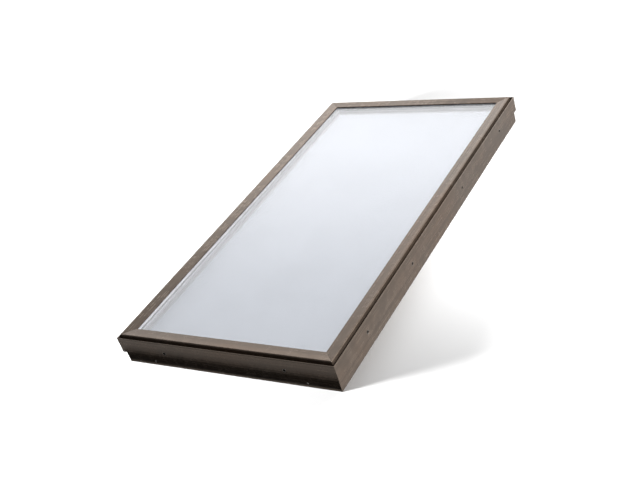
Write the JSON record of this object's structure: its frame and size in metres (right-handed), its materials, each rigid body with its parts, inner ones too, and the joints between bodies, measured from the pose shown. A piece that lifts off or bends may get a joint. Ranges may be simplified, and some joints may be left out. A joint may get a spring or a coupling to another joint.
{
  "type": "roof skylight",
  "caption": "Fixed curb-mounted roof skylight: insulating glass in a mitred bronze aluminium frame whose stepped skirt slips over a roof curb.",
  "frame": {"origin": "middle of the skirt's bottom rim", "axes": "+Z out through the glass, +Y up the roof slope from sill to head, +X to the right seen from the sill"},
  "size_m": [0.67, 1.2796, 0.09],
  "materials": {
    "frame": "bronze anodised, satin",
    "cap": "bronze anodised, satin",
    "corner_key": "mill finish",
    "glass": "clear, polished, low-emissivity tint",
    "interlayer": "clear film between two plies",
    "spacer": "satin",
    "sealant": "matte",
    "gasket": "matte",
    "tape": "matte foam",
    "liner": "satin",
    "curb_gasket": "closed-cell foam"
  },
  "bodies": {
    "root": {"sill": "frame", "head": "frame", "left_jamb": "frame", "right_jamb": "frame", "sill_cap": "cap", "head_cap": "cap", "left_cap": "cap", "right_cap": "cap", "front_left_key": "corner_key", "front_right_key": "corner_key", "rear_left_key": "corner_key", "rear_right_key": "corner_key", "front_left_cap_key": "corner_key", "front_right_cap_key": "corner_key", "rear_left_cap_key": "corner_key", "rear_right_cap_key": "corner_key", "outer_pane": "glass", "inner_pane_top": "glass", "inner_pane_bottom": "glass", "interlayer": "interlayer", "spacer_bar": "spacer", "edge_sealant": "sealant", "setting_blocks": "sealant", "sill_cap_gasket": "gasket", "sill_tape": "tape", "sill_gutter": "liner", "sill_liner": "liner", "sill_curb_gasket": "curb_gasket", "head_cap_gasket": "gasket", "head_tape": "tape", "head_gutter": "liner", "head_liner": "liner", "head_curb_gasket": "curb_gasket", "left_cap_gasket": "gasket", "left_tape": "tape", "left_gutter": "liner", "left_liner": "liner", "left_curb_gasket": "curb_gasket", "right_cap_gasket": "gasket", "right_tape": "tape", "right_gutter": "liner", "right_liner": "liner", "right_curb_gasket": "curb_gasket"}
  },
  "joints": []
}
